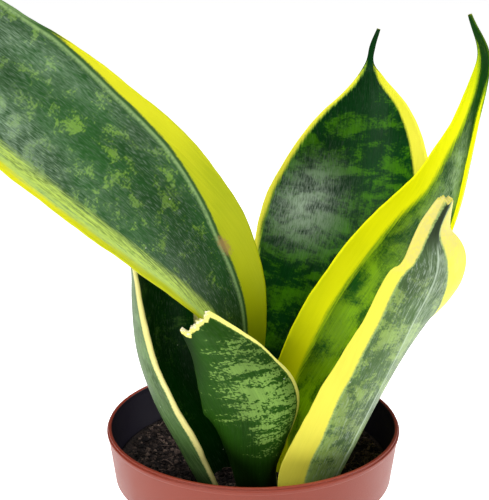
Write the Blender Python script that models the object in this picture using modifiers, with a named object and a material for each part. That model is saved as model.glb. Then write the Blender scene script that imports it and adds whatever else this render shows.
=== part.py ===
# Potted snake plant: six variegated leaves on one rhizome, in potting mix, in a 10.5 cm nursery pot.
# Metres, +Z up. The origin is the middle of the pot's underside, and the plant's front faces -Y.

import math

import bmesh
import bpy
import numpy as np

# ---------------------------------------------------------------- driving dimensions
RIM_RADIUS = 0.0525          # outside of the rolled lip
POT_HEIGHT = 0.090
BASE_RADIUS = 0.036
WALL = 0.0012
FLOOR = 0.0020
COLLAR_HEIGHT = 0.019        # nearly straight band under the lip
COLLAR_STEP = 0.0038         # how far the band stands out over the body
SHOULDER_HEIGHT = 0.0060     # slope between the band and the body
LIP_HEIGHT = 0.0024
BODY_TOP_RADIUS = 0.0461
DRAIN_HOLES = 6
DRAIN_RADIUS = 0.004
DRAIN_CIRCLE = 0.024
ROUND_STEPS = 72

GAP = 0.0003                 # clearance between neighbouring solids
SOIL_TOP = 0.075
SOIL_CROWN = 0.0015          # the mix is heaped a little towards the plant

CROWN = (0.0045, -0.0200, 0.0470)        # middle of the rhizome
CROWN_SIZE = (0.0265, 0.0190, 0.0140)    # its half sizes, before its top is levelled
LEAF_FOOT = 0.056            # height at which every leaf leaves the rhizome

LEAF_THICKNESS = 0.0026      # along the midrib
MARGIN_THICKNESS = 0.0011
AWN_THICKNESS = 0.0009
RINGS = 27
RING_POINTS = 9              # across one face of a leaf

MM = 0.001

# Each row is one station up a leaf's midrib: x, y, z and half width in mm, the compass angle that
# the upper face looks towards, and how far the near and far halves curl up, all in degrees.
LEAVES = {
    "leaf_left_broad": [
        (-4, -18, 56, 7.0, 345, 45, 45),
        (-4, -18, 70, 8.0, 345, 45, 45),
        (-4, -18, 95, 10.0, 342, 45, 42),
        (-5, -18, 123, 12.0, 330, 42, 40),
        (-8, -21, 140, 15.4, 322, 36, 36),
        (-18, -25, 160.3, 19.9, 312, 32, 32),
        (-33, -30, 179.3, 22.8, 305, 30, 30),
        (-56, -36, 201.4, 23.1, 300, 28, 28),
        (-76, -42, 219.0, 21.2, 298, 28, 28),
        (-92, -46, 232, 17.5, 296, 28, 28),
        (-108, -49, 240.5, 8.5, 296, 28, 28),
        (-115, -50, 243, 2.0, 296, 25, 25),
        (-122, -51, 244.5, 0.6, 296, 25, 25),
    ],
    "leaf_back_tall": [
        (6, -8, 56, 7.0, 265, 45, 45),
        (6, -8, 70, 9.0, 265, 45, 45),
        (11, -2, 100, 19.0, 262, 48, 58),
        (23, 4, 122, 27.4, 258, 42, 62),
        (31.2, 10, 142, 33.3, 255, 32, 58),
        (37.1, 17, 162, 33.6, 253, 27, 54),
        (40.4, 24, 181, 27.4, 253, 26, 52),
        (42, 30, 198, 16.0, 255, 25, 42),
        (42, 33, 208, 6.0, 260, 25, 25),
        (42, 35, 214, 1.6, 265, 25, 25),
        (43, 36, 220, 1.1, 265, 30, 30),
        (45, 36, 226, 0.6, 265, 30, 30),
    ],
    "leaf_right_arching": [
        (15, -18, 56, 7.0, 212, 45, 45),
        (15, -18, 70, 8.0, 212, 45, 45),
        (18, -14, 100, 15.2, 220, 45, 50),
        (29, -12, 119, 19.5, 226, 45, 50),
        (42, -9, 141, 19.2, 230, 42, 55),
        (55, -8, 160, 17.2, 230, 40, 65),
        (64.1, -7, 175, 13.0, 228, 42, 75),
        (68.5, -6, 189, 9.0, 226, 48, 70),
        (71.5, -6, 201, 5.5, 225, 50, 58),
        (74, -6, 212, 4.0, 225, 50, 50),
        (75, -7, 221, 2.8, 225, 50, 50),
        (69, -8, 235, 0.6, 225, 50, 50),
    ],
    "leaf_front_cut": [
        (3, -31, 56, 5.5, 98, 65, 65),
        (3, -31, 70, 7.5, 98, 65, 65),
        (1, -36, 88, 10.2, 98, 65, 65),
        (1, -37, 96, 13.0, 98, 56, 62),
        (0, -39, 110, 18.0, 98, 42, 55),
        (-5, -41, 122, 15.0, 98, 45, 48),
        (-11, -43, 133, 10.5, 96, 45, 45),
        (-18.4, -44, 143, 6.0, 94, 35, 45),
    ],
    "leaf_right_outer": [
        (21, -26, 56, 13.0, 143, 72, 60),
        (22, -27, 66, 15.0, 143, 75, 60),
        (26.5, -29, 83, 20.4, 140, 75, 62),
        (31.8, -30, 96, 20.3, 140, 72, 61),
        (39.0, -32, 114, 19.5, 138, 65, 56),
        (49.2, -36, 140, 15.8, 130, 30, 42),
        (56.6, -38, 160, 13.4, 118, 14, 26),
        (55.8, -40, 172, 6.6, 118, 15, 25),
        (58.9, -41, 182.5, 3.0, 118, 20, 30),
    ],
    "leaf_left_outer": [
        (-13, -18, 56, 10.0, 338, 85, 55),
        (-15.0, -18, 70, 13.0, 338, 92, 55),
        (-23.4, -18, 91, 18.8, 338, 95, 60),
        (-31.8, -17, 109, 20.4, 338, 84, 84),
        (-36.5, -16, 127, 21.2, 334, 77, 97),
        (-36.9, -15, 143, 21.2, 332, 62, 100),
        (-36.8, -14, 155, 18.6, 334, 45, 92),
        (-41, -13, 167, 9.0, 338, 45, 35),
        (-44, -12, 177, 2.0, 340, 40, 30),
    ],
}


# ---------------------------------------------------------------- scene and materials
def empty_scene():
    for item in list(bpy.data.objects):
        bpy.data.objects.remove(item)


def new_collection(name):
    collection = bpy.data.collections.new(name)
    bpy.context.scene.collection.children.link(collection)
    return collection


def make_material(name, colour, roughness, metallic=0.0):
    material = bpy.data.materials.new(name)
    material.use_nodes = True
    shader = material.node_tree.nodes["Principled BSDF"]
    shader.inputs["Base Color"].default_value = (*colour, 1.0)
    shader.inputs["Roughness"].default_value = roughness
    shader.inputs["Metallic"].default_value = metallic
    return material


def add_object(name, mesh, collection, material=None):
    item = bpy.data.objects.new(name, mesh)
    collection.objects.link(item)
    if material:
        mesh.materials.append(material)
    return item


def add_cutter(name, mesh):
    cutter = add_object(name, mesh, cutters)
    cutter.hide_render = True
    cutter.display_type = "WIRE"
    return cutter


def cut(item, cutter):
    boolean = item.modifiers.new("cut " + cutter.name, "BOOLEAN")
    boolean.operation = "DIFFERENCE"
    boolean.object = cutter


# ---------------------------------------------------------------- turned pieces
def turned(name, profile, collection, material):
    """Turn a profile of (radius, height) points, running down the outer side, about Z."""
    mesh = bpy.data.meshes.new(name)
    points = [(radius, 0.0, height) for radius, height in profile]
    mesh.from_pydata(points, [(i, i + 1) for i in range(len(points) - 1)], [])
    item = add_object(name, mesh, collection, material)
    screw = item.modifiers.new("turn", "SCREW")
    screw.steps = screw.render_steps = ROUND_STEPS
    screw.use_merge_vertices = True
    screw.merge_threshold = 0.00001
    screw.use_smooth_shade = True
    return item


# Heights and radii shared by the pot and the mix inside it
collar_foot = POT_HEIGHT - COLLAR_HEIGHT
shoulder_foot = collar_foot - SHOULDER_HEIGHT
shelf = collar_foot + WALL / 2
collar_radius = BODY_TOP_RADIUS + COLLAR_STEP
collar_top_radius = RIM_RADIUS - 0.0005
inner_base = BASE_RADIUS - WALL
inner_body = BODY_TOP_RADIUS - WALL
inner_collar = collar_radius - WALL
inner_lip = collar_top_radius - WALL


def build_pot():
    lip_foot = POT_HEIGHT - LIP_HEIGHT
    profile = [
        (0.0, FLOOR),
        (inner_base, FLOOR),
        (inner_body, shoulder_foot),
        (inner_collar, shelf),
        (inner_lip, lip_foot),
        (inner_lip + 0.0004, POT_HEIGHT - 0.0003),
        (collar_top_radius, POT_HEIGHT),
        (RIM_RADIUS - 0.0004, POT_HEIGHT - 0.0004),
        (RIM_RADIUS, POT_HEIGHT - LIP_HEIGHT / 2),
        (RIM_RADIUS - 0.0004, lip_foot),
        (collar_top_radius, lip_foot - 0.0004),
        (collar_radius, collar_foot),
        (collar_radius - 0.3 * COLLAR_STEP, collar_foot - 0.25 * SHOULDER_HEIGHT),
        (BODY_TOP_RADIUS, shoulder_foot),
        (BASE_RADIUS, 0.0012),
        (BASE_RADIUS - 0.0012, 0.0),
        (0.0, 0.0),
    ]
    pot = turned("nursery_pot", profile, plant, terracotta)
    for index in range(DRAIN_HOLES):
        angle = 2 * math.pi * index / DRAIN_HOLES
        drill = bmesh.new()
        bmesh.ops.create_cone(drill, cap_ends=True, segments=24, radius1=DRAIN_RADIUS,
                              radius2=DRAIN_RADIUS, depth=4 * FLOOR)
        place = (DRAIN_CIRCLE * math.cos(angle), DRAIN_CIRCLE * math.sin(angle), FLOOR / 2)
        bmesh.ops.translate(drill, verts=drill.verts, vec=place)
        mesh = bpy.data.meshes.new("drain_drill")
        drill.to_mesh(mesh)
        drill.free()
        cut(pot, add_cutter("drain_drill_%d" % index, mesh))


# ---------------------------------------------------------------- rhizome
def rhizome_mesh(name, grow=0.0):
    """A stubby rhizome, level on top where the leaves leave it."""
    body = bmesh.new()
    bmesh.ops.create_uvsphere(body, u_segments=28, v_segments=14, radius=1.0)
    top = LEAF_FOOT - GAP - CROWN[2]
    for vert in body.verts:
        x, y, z = (vert.co[axis] * (CROWN_SIZE[axis] + grow) for axis in range(3))
        knobs = 1.0 + 0.05 * math.sin(3.0 * math.atan2(y, x) + 0.6)
        vert.co = (CROWN[0] + x * knobs, CROWN[1] + y * knobs, CROWN[2] + min(z, top + grow))
    mesh = bpy.data.meshes.new(name)
    body.to_mesh(mesh)
    body.free()
    mesh.shade_smooth()
    return mesh


# ---------------------------------------------------------------- leaves
def smooth_path(knots, rows, at):
    """Read a smooth curve through rows of numbers, given at the knots, at other places."""
    spans = np.diff(knots)[:, None]
    steps = np.diff(rows, axis=0) / spans
    slopes = np.empty_like(rows)
    slopes[0], slopes[-1] = steps[0], steps[-1]
    slopes[1:-1] = (steps[:-1] * spans[1:] + steps[1:] * spans[:-1]) / (spans[:-1] + spans[1:])
    span = np.clip(np.searchsorted(knots, at, side="right") - 1, 0, len(knots) - 2)
    t = ((at - knots[span]) / spans[span, 0])[:, None]
    rise = spans[span] * (t * (1 - t) ** 2 * slopes[span] + t * t * (t - 1) * slopes[span + 1])
    return (1 + 2 * t) * (1 - t) ** 2 * rows[span] + t * t * (3 - 2 * t) * rows[span + 1] + rise


def leaf_rings(stations, grow):
    """Closed rings of points up a channelled leaf, each going over one face and back under it."""
    rows = np.array(stations, float)
    lengths = np.linalg.norm(np.diff(rows[:, :3], axis=0), axis=1)
    knots = np.concatenate([[0.0], np.cumsum(lengths)])
    at = np.linspace(0.0, knots[-1], RINGS)
    midrib = smooth_path(knots, rows[:, :3], at) * MM
    shape = smooth_path(knots, rows[:, 3:], at)
    half_width = np.maximum(shape[:, 0] * MM, AWN_THICKNESS / 2)
    facing, near_curl, far_curl = np.radians(shape[:, 1:]).T
    along = np.gradient(midrib, axis=0)
    along /= np.linalg.norm(along, axis=1)[:, None]
    level = np.stack([np.cos(facing), np.sin(facing), np.zeros(RINGS)], axis=1)
    out = level - np.sum(level * along, axis=1)[:, None] * along
    out /= np.linalg.norm(out, axis=1)[:, None]
    across = np.cross(along, out)
    midrib[0] -= grow * along[0]
    rings = []
    for i in range(RINGS):
        middle = min(LEAF_THICKNESS, max(AWN_THICKNESS, 0.7 * half_width[i]))
        margin = min(MARGIN_THICKNESS, 0.7 * middle)
        upper, lower = [], []
        for s in np.linspace(-1.0, 1.0, RING_POINTS):
            curl = near_curl[i] if s < 0 else far_curl[i]
            radius = (half_width[i] + grow) / curl
            turn = s * curl
            place = midrib[i] + radius * (math.sin(turn) * across[i] + (1 - math.cos(turn)) * out[i])
            normal = math.cos(turn) * out[i] - math.sin(turn) * across[i]
            half = (margin + (middle - margin) * (1 - s * s)) / 2 + grow
            upper.append(place + half * normal)
            lower.append(place - half * normal)
        rings.append(upper + lower[::-1])
    return rings


def leaf_mesh(name, stations, grow=0.0):
    """Loft the rings; grow makes every side of the leaf that much larger, for a cutter."""
    rings = leaf_rings(stations, grow)
    size = 2 * RING_POINTS
    faces = []
    for i in range(RINGS - 1):
        low, high = i * size, (i + 1) * size
        for j in range(size):
            k = (j + 1) % size
            faces.append((low + j, low + k, high + k, high + j))
    last = (RINGS - 1) * size
    for j in range(RING_POINTS - 1):
        faces.append((j, size - 1 - j, size - 2 - j, j + 1))
        faces.append((last + j, last + j + 1, last + size - 2 - j, last + size - 1 - j))
    mesh = bpy.data.meshes.new(name)
    mesh.from_pydata([tuple(point) for ring in rings for point in ring], [], faces)
    mesh.shade_smooth()
    return mesh


# ---------------------------------------------------------------- potting mix
def build_soil():
    """The mix fills the pot up to the soil line, and closes round the rhizome and the leaves."""
    lip_slope = (inner_lip - inner_collar) / (POT_HEIGHT - LIP_HEIGHT - shelf)
    edge = inner_collar + lip_slope * (SOIL_TOP - shelf) - GAP
    profile = [
        (0.0, SOIL_TOP + SOIL_CROWN),
        (0.6 * edge, SOIL_TOP + 0.6 * SOIL_CROWN),
        (edge, SOIL_TOP),
        (inner_collar - 2 * GAP, shelf + 2 * GAP),
        (inner_body - 2 * GAP, shoulder_foot + GAP),
        (inner_base - 2 * GAP, FLOOR + GAP),
        (0.0, FLOOR + GAP),
    ]
    soil = turned("potting_mix", profile, plant, peat)
    cut(soil, add_cutter("rhizome_space", rhizome_mesh("rhizome_space", GAP)))
    for name, stations in LEAVES.items():
        cut(soil, add_cutter(name + "_space", leaf_mesh(name + "_space", stations, GAP)))


# ---------------------------------------------------------------- the plant
empty_scene()
plant = new_collection("potted_snake_plant")
cutters = new_collection("cutters")
terracotta = make_material("terracotta plastic", (0.42, 0.11, 0.07), 0.42)
peat = make_material("damp potting mix", (0.024, 0.018, 0.014), 0.95)
root_flesh = make_material("rhizome flesh", (0.62, 0.36, 0.14), 0.6)
leaf_green = make_material("leaf green", (0.045, 0.14, 0.03), 0.38)

build_pot()
build_soil()
add_object("rhizome", rhizome_mesh("rhizome"), plant, root_flesh)
for leaf_name, leaf_stations in LEAVES.items():
    add_object(leaf_name, leaf_mesh(leaf_name, leaf_stations), plant, leaf_green)
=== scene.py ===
import math

import bpy
import numpy as np
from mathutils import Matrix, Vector


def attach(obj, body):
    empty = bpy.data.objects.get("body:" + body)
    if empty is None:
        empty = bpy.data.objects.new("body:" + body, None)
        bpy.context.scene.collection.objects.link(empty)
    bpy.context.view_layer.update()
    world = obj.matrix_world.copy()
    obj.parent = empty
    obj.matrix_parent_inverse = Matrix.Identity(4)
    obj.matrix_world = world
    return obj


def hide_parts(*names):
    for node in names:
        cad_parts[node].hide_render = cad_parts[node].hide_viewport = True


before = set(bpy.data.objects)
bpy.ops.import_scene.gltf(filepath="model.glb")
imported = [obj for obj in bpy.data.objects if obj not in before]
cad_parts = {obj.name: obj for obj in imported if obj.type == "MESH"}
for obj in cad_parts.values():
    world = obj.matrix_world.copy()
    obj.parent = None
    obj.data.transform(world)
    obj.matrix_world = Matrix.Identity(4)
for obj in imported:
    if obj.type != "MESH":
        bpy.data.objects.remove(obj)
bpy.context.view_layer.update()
scene = bpy.context.scene
mm = 0.001
print("frame loaded:", len(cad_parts), "nodes")


# Node helpers, the same for shader and geometry trees
def put(tree, kind, feeds=None, **settings):
    node = tree.nodes.new(kind)
    for name, value in settings.items():
        setattr(node, name, value)
    for name, value in (feeds or {}).items():
        if isinstance(value, bpy.types.NodeSocket):
            tree.links.new(value, node.inputs[name])
        else:
            node.inputs[name].default_value = value
    return node


def calc(operation, a, b=0.0, c=0.0, clamp=False):
    # one of the values is a socket, and the node goes into that socket's own tree
    tree = next(value.id_data for value in (a, b, c) if isinstance(value, bpy.types.NodeSocket))
    return put(tree, "ShaderNodeMath", {0: a, 1: b, 2: c}, operation=operation, use_clamp=clamp).outputs[0]


def plus(a, b, clamp=False):
    return calc("ADD", a, b, clamp=clamp)


def minus(a, b):
    return calc("SUBTRACT", a, b)


def times(a, b):
    return calc("MULTIPLY", a, b)


def over(a, b):
    return calc("DIVIDE", a, b)


def timesPlus(a, b, c):
    return calc("MULTIPLY_ADD", a, b, c)


def larger(a, b):
    return calc("MAXIMUM", a, b)


def sway(mask, amount):
    # a mask of 0 to 1 as a swing to both sides of zero
    return times(minus(mask, 0.5), amount)


def fade(value, low, high, toLow=0.0, toHigh=1.0):
    feeds = {"Value": value, "From Min": low, "From Max": high, "To Min": toLow, "To Max": toHigh}
    node = put(value.id_data, "ShaderNodeMapRange", feeds, interpolation_type="SMOOTHSTEP")
    return node.outputs["Result"]


def blend(amount, a, b):
    return put(amount.id_data, "ShaderNodeMix", {0: amount, 6: a, 7: b}, data_type="RGBA").outputs[2]


def noise(where, scale, detail, roughness, distortion=0.0):
    feeds = {
        "Vector": where, "Scale": scale, "Detail": detail, "Roughness": roughness, "Distortion": distortion}
    return put(where.id_data, "ShaderNodeTexNoise", feeds).outputs["Fac"]


def vectorMath(operation, a, b):
    return put(a.id_data, "ShaderNodeVectorMath", {0: a, 1: b}, operation=operation).outputs[0]


def scaled(vector, factor):
    feeds = {"Vector": vector, "Scale": factor}
    return put(vector.id_data, "ShaderNodeVectorMath", feeds, operation="SCALE").outputs[0]


def split(vector):
    return put(vector.id_data, "ShaderNodeSeparateXYZ", {0: vector}).outputs


def newGroup(name, kind, inputs, outputs):
    tree = bpy.data.node_groups.new(name, kind)
    for label, socketKind, value in inputs:
        socket = tree.interface.new_socket(label, in_out="INPUT", socket_type=socketKind)
        if value is not None:
            socket.default_value = value
    for label, socketKind in outputs:
        tree.interface.new_socket(label, in_out="OUTPUT", socket_type=socketKind)
    given = tree.nodes.new("NodeGroupInput").outputs
    result = tree.nodes.new("NodeGroupOutput").inputs
    return tree, given, result


def newMaterial(name, roughness, specular):
    material = bpy.data.materials.new(name)
    material.use_nodes = True
    shader = material.node_tree.nodes["Principled BSDF"]
    shader.inputs["Roughness"].default_value = roughness
    shader.inputs["Specular IOR Level"].default_value = specular
    return material, material.node_tree, shader


def addObject(name, data):
    made = bpy.data.objects.new(name, data)
    scene.collection.objects.link(made)
    return made


def raiseBumps(shader, height, strength, distance):
    tree = height.id_data
    bump = put(tree, "ShaderNodeBump", {"Strength": strength, "Distance": distance, "Height": height})
    tree.links.new(bump.outputs[0], shader.inputs["Normal"])


def runTree(host, tree, values):
    # run a geometry tree on its host, and leave the host with the plain result
    modifier = host.modifiers.new(tree.name, "NODES")
    modifier.node_group = tree
    for item in tree.interface.items_tree:
        if item.item_type == "SOCKET" and item.in_out == "INPUT" and item.name in values:
            modifier[item.identifier] = values[item.name]
    graph = bpy.context.evaluated_depsgraph_get()
    made = bpy.data.meshes.new_from_object(host.evaluated_get(graph))
    host.modifiers.remove(modifier)
    host.data = made
    return host


# Grain: an even fine-to-coarse mottle, shared by the pot, the mix and the rhizome
def makeGrain():
    tree, given, result = newGroup(
        "grain", "ShaderNodeTree",
        [("Where", "NodeSocketVector", None), ("Fine", "NodeSocketFloat", 2000.0),
         ("Coarse", "NodeSocketFloat", 60.0), ("Balance", "NodeSocketFloat", 0.5)],
        [("Tone", "NodeSocketFloat"), ("Height", "NodeSocketFloat")])
    fine = noise(given["Where"], given["Fine"], 2.0, 0.6)
    coarse = noise(given["Where"], given["Coarse"], 4.0, 0.55)
    mixed = put(tree, "ShaderNodeMix", {0: given["Balance"], 2: coarse, 3: fine}, data_type="FLOAT")
    tree.links.new(mixed.outputs[0], result["Tone"])
    tree.links.new(fine, result["Height"])
    return tree


grain = makeGrain()


def placeGrain(tree, fine, coarse, balance):
    where = put(tree, "ShaderNodeTexCoord").outputs["Object"]
    feeds = {"Where": where, "Fine": fine, "Coarse": coarse, "Balance": balance}
    return put(tree, "ShaderNodeGroup", feeds, node_tree=grain).outputs


# pot: a wall outline turned about Z, with drilled drain holes
pot = {
    "rimRadius": 52.5, "height": 90.0, "baseRadius": 36.0, "bodyRadius": 46.1,
    "wall": 1.2, "floor": 2.0, "collar": 19.0, "collarStep": 3.8, "shoulder": 6.0,
    "lip": 2.1, "lipDepth": 0.5, "groove": 0.85, "footChamfer": 1.4,
    "edgeRadius": 0.28, "turns": 160, "holes": 6, "holeRadius": 4.0, "holeCircle": 24.0,
    "outside": (0.205, 0.025, 0.009, 1.0), "worn": (0.262, 0.05, 0.027, 1.0),
    "inside": (0.010, 0.008, 0.016, 1.0),
}


def potOutline(p):
    # (radius, height, inside) in mm, from the middle of the floor, over the lip, to the underside
    collarFoot = p["height"] - p["collar"]
    shoulderFoot = collarFoot - p["shoulder"]
    lipFoot = p["height"] - p["lip"]
    collarRadius = p["bodyRadius"] + p["collarStep"]
    lipRoot = p["rimRadius"] - p["lipDepth"]
    rim = p["rimRadius"]
    top = p["height"]
    wall = p["wall"]
    chamfer = p["footChamfer"]
    return [
        (0.0, p["floor"], 1), (p["baseRadius"] - wall, p["floor"], 1),
        (p["bodyRadius"] - wall, shoulderFoot, 1), (collarRadius - wall, collarFoot + wall / 2, 1),
        (lipRoot - wall, lipFoot, 1), (lipRoot - wall, top - 0.4, 1),
        (lipRoot - wall + 0.3, top, 0), (rim - 0.6, top - 0.05, 0),
        (rim - 0.4, top - 0.3, 0), (rim - p["groove"], top - 0.75, 0),
        (rim - 0.05, top - 0.95, 0), (rim, top - 1.4, 0),
        (rim - 0.12, lipFoot, 0), (lipRoot, lipFoot - 0.5, 0),
        (collarRadius, collarFoot, 0),
        (collarRadius - 0.3 * p["collarStep"], collarFoot - 0.25 * p["shoulder"], 0),
        (p["bodyRadius"], shoulderFoot, 0), (p["baseRadius"], chamfer, 0),
        (p["baseRadius"] - chamfer, 0.0, 0), (0.0, 0.0, 0),
    ]


def makePotTree(material):
    tree, given, result = newGroup(
        "turnedPot", "GeometryNodeTree",
        [("Outline", "NodeSocketGeometry", None), ("Edge Radius", "NodeSocketFloat", 0.0004),
         ("Turns", "NodeSocketInt", 96), ("Holes", "NodeSocketInt", 6),
         ("Hole Radius", "NodeSocketFloat", 0.004), ("Hole Circle", "NodeSocketFloat", 0.02)],
        [("Pot", "NodeSocketGeometry")])
    curve = put(tree, "GeometryNodeMeshToCurve", {"Mesh": given["Outline"]}).outputs[0]
    feeds = {"Curve": curve, "Radius": given["Edge Radius"], "Count": 4, "Limit Radius": True}
    rounded = put(tree, "GeometryNodeFilletCurve", feeds, mode="POLY").outputs[0]
    line = put(tree, "GeometryNodeCurveToMesh", {"Curve": rounded}).outputs[0]
    size = put(tree, "GeometryNodeAttributeDomainSize", {"Geometry": line}, component="MESH")
    turnsPlus = plus(given["Turns"], 1.0)
    feeds = {"Vertices X": size.outputs["Point Count"], "Vertices Y": turnsPlus}
    wall = put(tree, "GeometryNodeMeshGrid", feeds)
    index = put(tree, "GeometryNodeInputIndex").outputs[0]
    row = calc("FLOOR", over(plus(index, 0.5), turnsPlus))
    step = minus(index, times(row, turnsPlus))
    angle = times(over(step, given["Turns"]), 2 * math.pi)
    place = put(tree, "GeometryNodeInputPosition").outputs[0]
    read = put(tree, "GeometryNodeSampleIndex", {"Geometry": line, "Value": place, "Index": row},
               data_type="FLOAT_VECTOR", domain="POINT").outputs[0]
    radius, _, height = split(read)
    x = times(radius, calc("COSINE", angle))
    y = times(radius, calc("SINE", angle))
    spot = put(tree, "ShaderNodeCombineXYZ", {0: x, 1: y, 2: height}).outputs[0]
    lining = put(tree, "GeometryNodeInputNamedAttribute", {"Name": "inside"}, data_type="FLOAT").outputs[0]
    liningRead = put(tree, "GeometryNodeSampleIndex", {"Geometry": line, "Value": lining, "Index": row},
                     data_type="FLOAT", domain="POINT").outputs[0]
    shaped = put(tree, "GeometryNodeSetPosition", {"Geometry": wall.outputs[0], "Position": spot})
    named = put(tree, "GeometryNodeStoreNamedAttribute",
                {"Geometry": shaped.outputs[0], "Name": "inside", "Value": liningRead},
                data_type="FLOAT", domain="POINT")
    merged = put(tree, "GeometryNodeMergeByDistance", {"Geometry": named.outputs[0], "Distance": 0.00001})
    ring = put(tree, "GeometryNodeMeshCircle", {"Vertices": given["Holes"], "Radius": given["Hole Circle"]})
    feeds = {"Vertices": 40, "Radius": given["Hole Radius"], "Depth": 0.01}
    drill = put(tree, "GeometryNodeMeshCylinder", feeds)
    feeds = {"Points": ring.outputs[0], "Instance": drill.outputs[0]}
    drills = put(tree, "GeometryNodeInstanceOnPoints", feeds)
    solid = put(tree, "GeometryNodeRealizeInstances", {"Geometry": drills.outputs[0]})
    bored = put(tree, "GeometryNodeMeshBoolean", {"Mesh 1": merged.outputs[0], "Mesh 2": solid.outputs[0]},
                operation="DIFFERENCE")
    smooth = put(tree, "GeometryNodeSetShadeSmooth", {"Geometry": bored.outputs[0]})
    real = put(tree, "GeometryNodeRealizeInstances", {"Geometry": smooth.outputs[0]})
    coloured = put(tree, "GeometryNodeSetMaterial", {"Geometry": real.outputs[0], "Material": material})
    tree.links.new(coloured.outputs[0], result["Pot"])
    return tree


def makePotMaterial(p):
    material, tree, shader = newMaterial("terracottaPlastic", 0.4, 0.35)
    skin = placeGrain(tree, 2600.0, 45.0, 0.35)
    tone = fade(skin["Tone"], 0.35, 0.68)
    plastic = blend(times(tone, 0.35), p["outside"], p["worn"])
    inside = put(tree, "ShaderNodeAttribute", attribute_name="inside", attribute_type="GEOMETRY")
    lined = blend(fade(inside.outputs["Fac"], 0.84, 0.94), plastic, p["inside"])
    tree.links.new(lined, shader.inputs["Base Color"])
    tree.links.new(fade(skin["Tone"], 0.3, 0.7, 0.36, 0.5), shader.inputs["Roughness"])
    raiseBumps(shader, skin["Height"], 0.25, 0.0002)
    return material


def buildPot(p):
    outline = potOutline(p)
    mesh = bpy.data.meshes.new("potShell")
    edges = [(i, i + 1) for i in range(len(outline) - 1)]
    mesh.from_pydata([(r * mm, 0.0, z * mm) for r, z, _ in outline], edges, [])
    lining = mesh.attributes.new("inside", "FLOAT", "POINT")
    lining.data.foreach_set("value", [float(kind) for _, _, kind in outline])
    host = addObject("potShell", mesh)
    tree = makePotTree(makePotMaterial(p))
    runTree(host, tree, {"Edge Radius": p["edgeRadius"] * mm, "Turns": p["turns"], "Holes": p["holes"],
                         "Hole Radius": p["holeRadius"] * mm, "Hole Circle": p["holeCircle"] * mm})
    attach(host, "root")
    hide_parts("nursery_pot")
    return host


potShell = buildPot(pot)
print("pot:", len(potShell.data.polygons), "faces")


# leaves: each is a blade lofted up its midrib, and a station is x, y, z, half width (mm),
# facing, near curl, far curl (degrees), near band, far band (mm), palenessAndShade (low values darken the
# face with painted shade), waxAndSheen (a painted sheen, partly real wax), deepnessAndShade (deeper yellow,
# partly painted shade)
leafBlade = {
    "rings": 190, "points": 33, "edgePoints": 4, "thickness": 2.6, "margin": 1.1, "awn": 0.9,
    "ripple": 0.12, "rippleShare": 0.02,
    "veins": 0.05, "veinCount": 46, "veinFull": 12.0, "slender": 0.7, "keelWidth": 0.7, "trimLength": 12.0,
    "nearWaves": ((31, 1.0), (17, 0.6), (7.3, 0.25)), "farWaves": ((37, 1.0), (19, 0.6), (6.1, 0.25)),
}

# what holds for a leaf unless its own dictionary says otherwise
leafLook = {
    "end": "tip", "farShade": 0.0, "dry": (150, 120, 70), "slant": 0.0, "crisp": 0.1, "crease": 0.0,
    "endBand": 0.0, "dryLength": 0.0, "bleach": 0.0, "midrib": 0.0, "gloss": 0.42, "hazeFar": 0.0,
    "level": 0.0, "back": 0.2, "keel": 0.3, "keelTone": 0.0, "scarAcross": 0.0, "scarAlong": 0.0,
    "scarSize": 0.0,
}

leafLeftBroad = {
    **leafLook, "node": "leaf_left_broad", "piece": "broadBlade", "finish": "mottledGreenBroad",
    "seed": 3.1, "dark": (22, 66, 16), "pale": (86, 122, 30), "band": (214, 210, 22),
    "deepBand": (156, 166, 2), "strip": (128, 158, 98), "wash": (172, 196, 84),
    "hazeColor": (150, 174, 146), "patchAcross": 5.0, "patchAlong": 6.5, "mottle": 0.6, "crisp": 0.07,
    "speckle": 1.1, "nearSoft": 1.6, "farSoft": 0.6, "stripWidth": 2.4, "crease": 0.9, "washWidth": 6.5,
    "bloom": 0.24, "gloss": 0.4, "shine": 0.12, "waxAndSheenSpot": (-0.5, 0.5), "hazeFar": 0.7, "scarAcross": 8.6,
    "scarAlong": 104.0, "scarSize": 2.2,
    "stations": [
        (-4, -18, 56, 7, 345, 45, 45, 1, 4, 0.3, 0, 0.9),
        (-4, -18, 70, 8, 345, 45, 45, 1, 5, 0.3, 0, 0.9),
        (-4, -18, 95, 10, 342, 45, 42, 1, 6.5, 0.3, 0, 0.9),
        (-5, -18, 123, 12, 330, 42, 40, 1, 7.4, 0.3, 0, 0.95),
        (-8, -21, 140, 15.4, 322, 36, 36, 1, 9, 0.35, 0.02, 0.9),
        (-18, -25, 160.3, 19.9, 312, 32, 32, 0.7, 9.6, 0.42, 0.03, 0.75),
        (-33, -30, 179.3, 22.8, 305, 30, 30, 0.6, 6.2, 0.48, 0.12, 0.45),
        (-56, -36, 201.4, 23.1, 300, 28, 28, 0.6, 2.8, 0.5, 0.32, 0.15),
        (-76, -42, 219, 21.2, 298, 28, 28, 0.6, -0.9, 0.5, 0.6, 0),
        (-92, -46, 232, 17.5, 296, 28, 28, 0.8, -1.2, 0.45, 0.6, 0),
        (-108, -49, 240.5, 8.5, 296, 28, 28, 0.8, -1.2, 0.3, 0.4, 0),
        (-115, -50, 243, 2, 296, 25, 25, 0.3, -1, 0.1, 0.1, 0),
        (-122, -51, 244.5, 0.6, 296, 25, 25, 0, 0, 0, 0, 0),
    ],
}

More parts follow.
